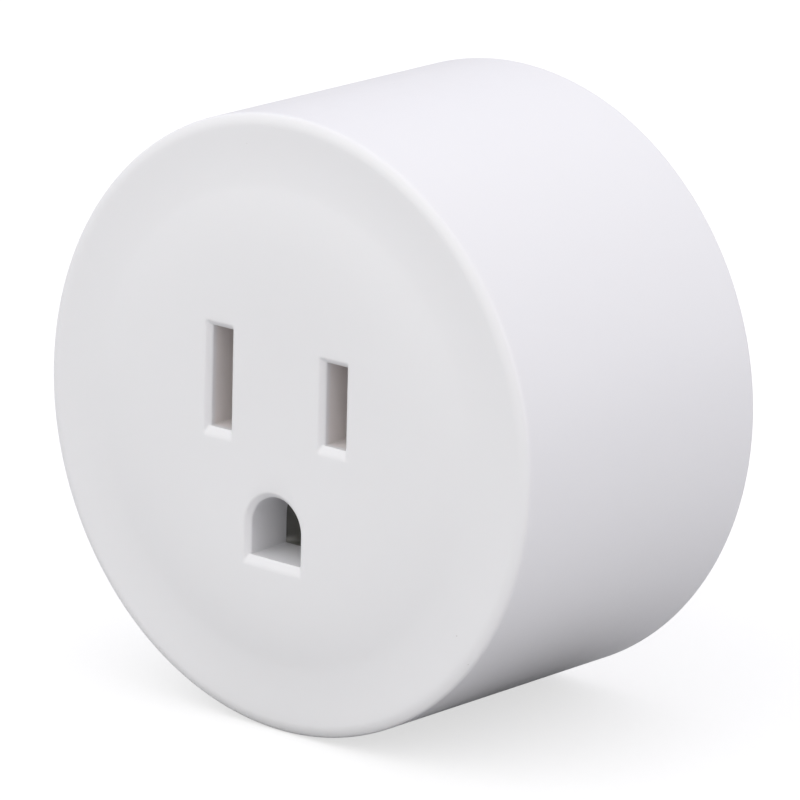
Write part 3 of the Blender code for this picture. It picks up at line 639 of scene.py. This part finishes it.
tip = [(2.38 * sin(radians(a)) ** 0.8, -PIN_TIP + 2.5 * (1 - cos(radians(a)))) for a in range(6, 91, 6)]
pin = revolve("ground_pin_rod", [
    (0, 9.0), (0.9, 9.0), (1.1, 8.8), (1.1, 4.3), (1.25, 4.1), (3.5, 4.1), (3.7, 3.95), (3.7, 2.65), (3.55, 2.5), (2.5, 2.5), (2.38, 2.3), (2.38, -6.0), (2.38, -12.0),
    *tip[::-1], (0, -PIN_TIP),
], segments=72, at=(0, GROUND_Y))
clean(pin, 40)
dress(pin, PIN_METAL.mat, "plug_body", "nickel_brass", "ground_pin")

# ------------------------------------------------------------------ button and light pipe
cap_profile = [(0, 2.86), (1.2, 2.88), (2.0, 2.93), (2.6, 2.99), (2.9, 3.02)]
cap_profile += [(3.05 + 0.45 * sin(radians(a)), 2.57 + 0.45 * cos(radians(a))) for a in range(0, 91, 15)]
cap_profile += [(3.5, 0.15), (3.6, 0.0), (4.15, 0.0), (4.3, -0.15), (4.3, -0.6), (4.2, -0.7), (1.4, -0.7), (1.2, -0.8), (1.2, -1.15), (1.1, -1.25), (0, -1.25)]
cap = revolve("button_cap_disc", cap_profile, segments=96)
clean(cap, 40)
place(cap, Matrix.Translation((-24.0 * MM, 0, BUTTON_Z * MM)) @ Matrix.Rotation(-pi / 2, 4, "Y"))
dress(cap, BUTTON.mat, "button", "button_plastic", "button_cap")

path = [(20.0, SEAT_Z + 1.9), (20.0, 10.9)] + [(22.2 - 2.2 * cos(radians(t)), 11.3 + 2.2 * sin(radians(t))) for t in range(0, 91, 10)] + [(24.6, 13.5), (BODY_R - 0.42, 13.5)]
bm = bmesh.new()
sides, rows = 32, []
for i, (r, z) in enumerate(path):
    before, after = path[max(0, i - 1)], path[min(len(path) - 1, i + 1)]
    along = Vector((after[0] - before[0], 0, after[1] - before[1])).normalized()
    normal = Vector((-along.z, 0, along.x))
    rows.append((Vector((r, 0, z)), normal, 1.1))
end, n_end, _ = rows[-1]
rows += [(end + Vector((0.12, 0, 0)), n_end, 1.04), (end + Vector((0.22, 0, 0)), n_end, 0.85), (end + Vector((0.27, 0, 0)), n_end, 0.5)]
loops = [[bm.verts.new((c + n * rad * cos(2 * pi * k / sides) + Vector((0, 1, 0)) * rad * sin(2 * pi * k / sides)) * MM) for k in range(sides)] for c, n, rad in rows]
for a, b in zip(loops, loops[1:]):
    for k in range(sides):
        j = (k + 1) % sides
        bm.faces.new((a[k], a[j], b[j], b[k]))
bm.faces.new(loops[0][::-1])
bm.faces.new(loops[-1])
pipe = shape("light_pipe_rod", bm, 40)
place(pipe, Matrix.Rotation(radians(LIGHT_ANGLE), 4, "Z"))
clean(pipe, 40)
dress(pipe, CLEAR.mat, "plug_body", "clear_plastic", "light_pipe")

# ------------------------------------------------------------------ outlet contacts
def eased(points, rounds=3):
    """Rounds the corners of an open path and keeps its ends."""
    for _ in range(rounds):
        out = [points[0]]
        for (x0, y0), (x1, y1) in zip(points, points[1:]):
            out += [(x0 * 0.75 + x1 * 0.25, y0 * 0.75 + y1 * 0.25), (x0 * 0.25 + x1 * 0.75, y0 * 0.25 + y1 * 0.75)]
        points = [*out, points[-1]]
    return points


def ribbon_outline(points, thickness):
    left, right = [], []
    for i, (x, z) in enumerate(points):
        (xa, za), (xb, zb) = points[max(0, i - 1)], points[min(len(points) - 1, i + 1)]
        n = Vector((-(zb - za), xb - xa)).normalized() * thickness / 2
        left.append((x + n.x, z + n.y))
        right.append((x - n.x, z - n.y))
    return left + right[::-1]


for name, side, (w, h) in (("neutral", -1, NEUTRAL_SLOT), ("line", 1, LINE_SLOT)):
    x, t = side * HALF, 0.46
    wing = [(1.95, 25.9), (1.6, 25.2), (0.72, 24.0), (0.86, 22.6), (1.28, 20.6), (1.7, 17.0), (1.7, 14.6), (1.68, 13.0)]
    route = eased([*wing, *[(-a, b) for a, b in wing[::-1]]])
    outline = [(x + a, b) for a, b in ribbon_outline(route, t)]
    y0, y1 = BLADE_Y - h / 2 + 0.4, BLADE_Y + h / 2 - 0.4
    leaf = loft(name + "_contact_leaves", [(outline, y0), (outline, y1)])
    place(leaf, Matrix(((1, 0, 0, 0), (0, 0, 1, 0), (0, 1, 0, 0), (0, 0, 0, 1))))
    slit = [box(f"{name}_slit_{k}", (x - 3, x + 3), (BLADE_Y - 0.18, BLADE_Y + 0.18), (16.5, 27))for k in range(1)]
    combine(leaf, slit, "DIFFERENCE")
    tail = box(name + "_contact_tail", (x - 0.4, x + 0.4), (BLADE_Y + 1.6, BLADE_Y + 3.6), (5.9, 13.0))
    combine(leaf, [tail], "UNION")
    bevel(leaf, 0.09, 2, 50)
    clean(leaf, 40)
    dress(leaf, BRASS.mat, "plug_body", "contact_brass", name + "_contact")


def channel(half, bottom, top, t):
    """A U of bent sheet, open at the top."""
    r = 0.9
    return [
        (-half, top), *arc(-half + r, bottom + r, r, 180, 270, 6), *arc(half - r, bottom + r, r, 270, 360, 6), (half, top),
        (half - t, top), *arc(half - r, bottom + r, r - t, 360, 270, 6), *arc(-half + r, bottom + r, r - t, 270, 180, 6), (-half + t, top),
    ]


sleeve, top = GROUND_Y - 3.0, GROUND_Y + 2.7
levels = ((14.0, 2.72, 0), (17.0, 2.7, 0), (20.0, 2.62, 0), (22.4, 2.52, 0), (23.6, 2.52, 0), (24.4, 2.6, 0.0), (25.0, 2.78, 0.01), (25.5, 3.02, 0.02), (25.9, 3.3, 0.05), (26.06, 3.44, 0.08))
ground = loft("ground_contact_channel", [(channel(a, sleeve - d, top, 0.42), z) for z, a, d in levels])
tail = box("ground_contact_tail", (-1.2, 1.2), (sleeve + 0.02, sleeve + 0.44), (5.9, 15))
combine(ground, [tail], "UNION")
clean(ground, 35)
dress(ground, TINNED.mat, "plug_body", "contact_brass", "ground_contact")

# ------------------------------------------------------------------ finishes of the CAD nodes that stay
KEPT = {
    INSULATOR: ("contact_carrier", "contact_retainer"),
    BRASS: ("relay_moving_contact", "relay_fixed_contact"),
    BOARD: ("main_board", "radio_board"),
    STEEL: ("radio_shield", "board_screw_left", "board_screw_right", "board_screw_bottom"),
    BLACK: ("relay_base", "filter_choke", "bridge_rectifier", "supply_chip", "voltage_regulator", "relay_driver", "switch_body", "switch_plunger"),
    RELAY: ("relay_cover",),
    BOBBIN: ("relay_bobbin",),
    COPPER: ("relay_coil",),
    IRON: ("relay_core", "relay_yoke", "relay_armature"),
    SLEEVE: ("bulk_capacitor", "filter_capacitor", "output_capacitor"),
    BLUE: ("surge_varistor",),
    BEIGE: ("fuse_resistor",),
    CLEAR: ("status_led",),
}
for finish, names in KEPT.items():
    for name in names:
        data = nodes[name].data
        data.materials.clear()
        data.materials.append(finish.mat)

# ------------------------------------------------------------------ floor, light, camera
def table(name, height, finish):
    bm = bmesh.new()
    bmesh.ops.create_grid(bm, x_segments=24, y_segments=24, size=4.0)
    obj = shape(name, bm)
    obj.location.z = -(BODY_R + height) * MM
    obj.data.materials.append(finish.mat)
    obj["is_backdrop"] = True
    return obj


# a light table: what the eye sees is a glowing white sheet, what lights the object from below is its dimmer bounce
SHEET = Finish("light_table_sheet", (0.36, 0.36, 0.363), 0.75)
SHEET.rough(SHEET.noise(60), 0.3, 0.7, 0.7, 0.8)
SHEET.set(Emission_Color=(1, 1, 1, 1), Emission_Strength=0.64, Specular_IOR_Level=0.1)
floor = table("floor", 0.04, SHEET)
floor.visible_diffuse = floor.visible_glossy = floor.visible_transmission = floor.visible_shadow = False
# painted shadow: the bounce sheet is nearly black (0.04) in a patch under the object and 0.475 grey farther out, so the
# object's underside gets the shade of the floor beneath it
BOUNCE = Finish("bounce_sheet_with_painted_shadow", (0.04, 0.04, 0.04), 0.7)
painted_shadow_distance = BOUNCE.nodes.new("ShaderNodeVectorMath")
painted_shadow_distance.operation = "LENGTH"
middle = BOUNCE.nodes.new("ShaderNodeMapping")
middle.inputs["Location"].default_value = (0, 0.0142, 0)
middle.inputs["Scale"].default_value = (0.42, 0.9, 0)
BOUNCE.links.new(BOUNCE.coord, middle.inputs["Vector"])
BOUNCE.links.new(middle.outputs["Vector"], painted_shadow_distance.inputs[0])
BOUNCE.tint(BOUNCE.ramp(painted_shadow_distance.outputs["Value"], 0.005, 0.019), (0.475, 0.475, 0.475))
BOUNCE.rough(BOUNCE.noise(60), 0.3, 0.7, 0.65, 0.75)
bounce = table("floor_bounce", 0.1, BOUNCE)
bounce.visible_camera = False

# large soft lamps round the object: direction they shine from, colour and strength
LAMPS = (
    ((0, 0, 1), (0.59, 0.591, 0.636)),
    ((1, 0, 1), (0.076, 0.069, 0.083)),
    ((1, 0, 0.12), (1.554, 1.562, 1.582)),
    ((0, -1, 0.12), (0.943, 0.972, 0.931)),
    ((0, -1, 1), (0.864, 0.866, 0.811)),
    ((-1, 0, 1), (0.124, 0.133, 0.178)),
    ((-1, -1, 0.15), (0.113, 0.12, 0.117)),
    ((0, 1, 1), (0.358, 0.364, 0.391)),
    ((1, 1, 0.15), (0.244, 0.255, 0.283)),
    ((0, 1, 0.12), (0.142, 0.142, 0.142)),
    ((-1, 0, 0.12), (0.273, 0.272, 0.273)),
    ((-1, -1, 1), (0.64, 0.663, 0.67)),
    ((1, 1, 1), (0.143, 0.15, 0.179)),
    ((-1, 1, 1), (0.241, 0.248, 0.316)),
)
ROOM = (0.494, 0.477, 0.478)
POWER = 0.976
world = bpy.data.worlds.new("soft_studio")
scene.world = world
world.use_nodes = True
wn, wl = world.node_tree.nodes, world.node_tree.links
background = wn["Background"]
coord = wn.new("ShaderNodeTexCoord")
total = wn.new("ShaderNodeRGB")
total.outputs[0].default_value = (*ROOM, 1)
total = total.outputs[0]
for direction, colour in LAMPS:
    dot = wn.new("ShaderNodeVectorMath")
    dot.operation = "DOT_PRODUCT"
    dot.inputs[1].default_value = Vector(direction).normalized()
    wl.new(coord.outputs["Generated"], dot.inputs[0])
    front = wn.new("ShaderNodeMath")
    front.operation = "MAXIMUM"
    front.inputs[1].default_value = 0
    wl.new(dot.outputs["Value"], front.inputs[0])
    lobe = wn.new("ShaderNodeMath")
    lobe.operation = "POWER"
    lobe.inputs[1].default_value = 6
    wl.new(front.outputs[0], lobe.inputs[0])
    step = wn.new("ShaderNodeVectorMath")
    step.operation = "MULTIPLY_ADD"
    wl.new(lobe.outputs[0], step.inputs[0])
    step.inputs[1].default_value = colour
    wl.new(total, step.inputs[2])
    total = step.outputs["Vector"]
wl.new(total, background.inputs["Color"])
background.inputs["Strength"].default_value = POWER
white = wn.new("ShaderNodeBackground")
white.inputs["Color"].default_value = (1, 1, 1, 1)
white.inputs["Strength"].default_value = 1.0
seen = wn.new("ShaderNodeLightPath")
mix = wn.new("ShaderNodeMixShader")
wl.new(seen.outputs["Is Camera Ray"], mix.inputs["Fac"])
wl.new(background.outputs["Background"], mix.inputs[1])
wl.new(white.outputs["Background"], mix.inputs[2])
wl.new(mix.outputs["Shader"], wn["World Output"].inputs["Surface"])

scene.view_settings.view_transform = "Standard"
scene.view_settings.look = "None"

# camera: a long lens 40 degrees to the right of the outlet face and 15 degrees above it, leaning 1.4 degrees
AZ, EL, ROLL = radians(40.436), radians(15.452), radians(1.41)
DISTANCE, FOCAL_PX, SHIFT_X, SHIFT_Y = 0.67739, 7998.7, 391.953, 396.754
back = Vector((sin(AZ) * cos(EL), -cos(AZ) * cos(EL), sin(EL)))
right = Vector((cos(AZ), sin(AZ), 0))
upward = back.cross(right)
right, upward = right * cos(ROLL) + upward * sin(ROLL), upward * cos(ROLL) - right * sin(ROLL)
aim = Vector((0, -0.016, 0))
dx, dy = (SHIFT_X - 400) / FOCAL_PX * DISTANCE, -(SHIFT_Y - 400) / FOCAL_PX * DISTANCE
camera = bpy.data.objects.new("camera", bpy.data.cameras.new("camera"))
camera.data.sensor_width = 36
camera.data.lens = FOCAL_PX * 36 / 800
camera.data.clip_start, camera.data.clip_end = 0.01, 50
camera.rotation_mode = "QUATERNION"
camera.rotation_quaternion = Matrix((right, upward, back)).transposed().to_quaternion()
camera.location = aim - right * dx - upward * dy + back * DISTANCE
scene.collection.objects.link(camera)
scene.camera = camera

lo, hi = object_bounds()
